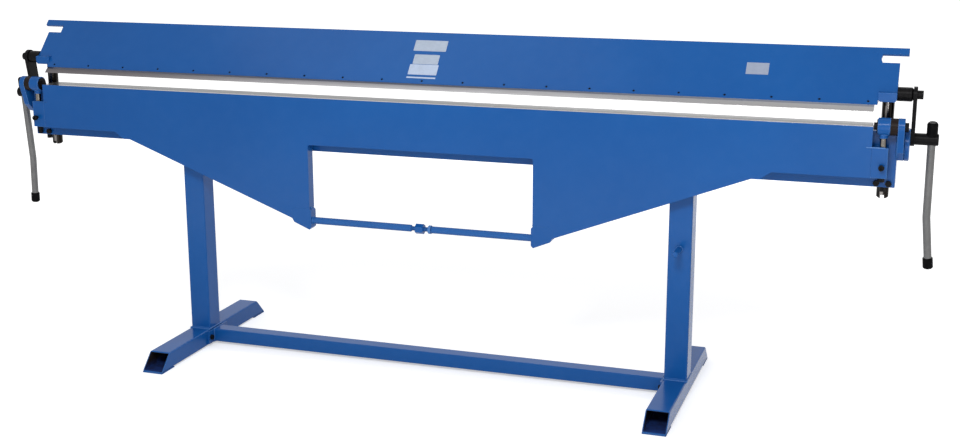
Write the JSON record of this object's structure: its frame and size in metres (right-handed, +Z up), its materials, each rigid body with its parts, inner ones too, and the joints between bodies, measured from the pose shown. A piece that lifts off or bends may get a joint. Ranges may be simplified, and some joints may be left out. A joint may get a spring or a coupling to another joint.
{
  "type": "sheet metal folder",
  "caption": "Long hand-operated folding machine on two feet: a lifting clamping beam with eccentric handles above a bed, and a swinging folding leaf with a truss rod.",
  "frame": {"origin": "on the floor, in the middle of the rectangle that the whole machine covers", "axes": "+X along the blades to the operator's right, +Y away from the operator, +Z up"},
  "size_m": [3.4787, 0.8, 1.2165],
  "materials": {
    "blue_paint": "semi-gloss enamel",
    "bare_steel": "ground",
    "black_steel": "black oxide",
    "black_plastic": "matt",
    "bush_metal": "dark machined"
  },
  "bodies": {
    "stand": {"foot_left": "blue_paint", "foot_right": "blue_paint", "foot_pads": "blue_paint", "leg_left": "blue_paint", "leg_right": "blue_paint", "leg_peg": "blue_paint", "stretcher": "blue_paint", "stretcher_flanges": "blue_paint", "stretcher_bolts": "black_steel", "bed_beam": "blue_paint", "bed_blade": "bare_steel", "end_block_left": "blue_paint", "end_block_right": "blue_paint", "end_block_bolts": "black_steel", "hinge_lug_left": "blue_paint", "hinge_lug_right": "blue_paint", "hinge_pin_left": "black_steel", "hinge_pin_right": "black_steel", "hinge_bush_left": "bush_metal", "hinge_bush_right": "bush_metal", "hinge_pin_nuts": "black_steel"},
    "clamp_beam": {"clamp_plate": "blue_paint", "clamp_base": "blue_paint", "clamp_web": "blue_paint", "clamp_blade": "bare_steel", "blade_screws": "black_steel", "clamp_lug_left": "blue_paint", "clamp_lug_right": "blue_paint", "pillar_left": "bare_steel", "pillar_right": "bare_steel", "link_boss_left": "black_steel", "link_boss_right": "black_steel"},
    "hinge_eyes": {"hinge_eye_left": "blue_paint", "hinge_eye_right": "blue_paint"},
    "folding_leaf": {"folding_plate": "blue_paint", "adjuster_block_left": "blue_paint", "adjuster_block_right": "blue_paint", "set_screws": "black_steel", "opening_ribs": "blue_paint", "truss_bracket_left": "blue_paint", "truss_bracket_right": "blue_paint", "truss_rod_left": "blue_paint", "truss_rod_right": "blue_paint", "turnbuckle_locknut": "blue_paint"},
    "turnbuckle": {"turnbuckle_nut": "blue_paint"},
    "handle_left": {"crank_left": "blue_paint", "handle_hub_left": "black_steel", "handle_tube_left": "bare_steel", "handle_cap_left": "black_plastic", "handle_grip_left": "black_plastic"},
    "link_left": {"link_arm_left": "black_steel", "link_bolt_left": "black_steel"},
    "handle_right": {"crank_right": "blue_paint", "handle_hub_right": "black_steel", "handle_tube_right": "bare_steel", "handle_cap_right": "black_plastic", "handle_grip_right": "black_plastic"},
    "link_right": {"link_arm_right": "black_steel", "link_bolt_right": "black_steel"}
  },
  "joints": [
    {"name": "clamp_lift", "type": "slide", "parent": "stand", "child": "clamp_beam", "axis": [0, 0, -1], "range_m": [0, 0.044]},
    {"name": "handle_turn_left", "type": "hinge", "parent": "stand", "child": "handle_left", "pos_m": [-1.7049, -0.008, 0.924], "axis": [-1, 0, 0], "range_deg": [0, 79.6]},
    {"name": "link_turn_left", "type": "hinge", "parent": "handle_left", "child": "link_left", "pos_m": [-1.6466, 0.027, 0.938], "axis": [-1, 0, 0], "range_deg": [-73.8, 0]},
    {"name": "handle_turn_right", "type": "hinge", "parent": "stand", "child": "handle_right", "pos_m": [1.7049, -0.008, 0.924], "axis": [-1, 0, 0], "range_deg": [0, 79.6]},
    {"name": "link_turn_right", "type": "hinge", "parent": "handle_right", "child": "link_right", "pos_m": [1.6466, 0.027, 0.938], "axis": [-1, 0, 0], "range_deg": [-73.8, 0]},
    {"name": "leaf_swing", "type": "hinge", "parent": "stand", "child": "hinge_eyes", "pos_m": [0, -0.079, 0.99], "axis": [-1, 0, 0], "range_deg": [0, 135]},
    {"name": "leaf_height", "type": "slide", "parent": "hinge_eyes", "child": "folding_leaf", "axis": [0, 0, -1], "range_m": [0, 0.01]},
    {"name": "turnbuckle_turn", "type": "hinge", "parent": "folding_leaf", "child": "turnbuckle", "pos_m": [0, -0.0743, 0.5375], "axis": [1, 0, 0], "range_deg": [-180, 180]}
  ],
  "couplings": [
    {"joint": "handle_turn_left", "follows": "clamp_lift", "rad_per_m": 31.574},
    {"joint": "link_turn_left", "follows": "clamp_lift", "rad_per_m": -29.25},
    {"joint": "handle_turn_right", "follows": "clamp_lift", "rad_per_m": 31.574},
    {"joint": "link_turn_right", "follows": "clamp_lift", "rad_per_m": -29.25}
  ]
}
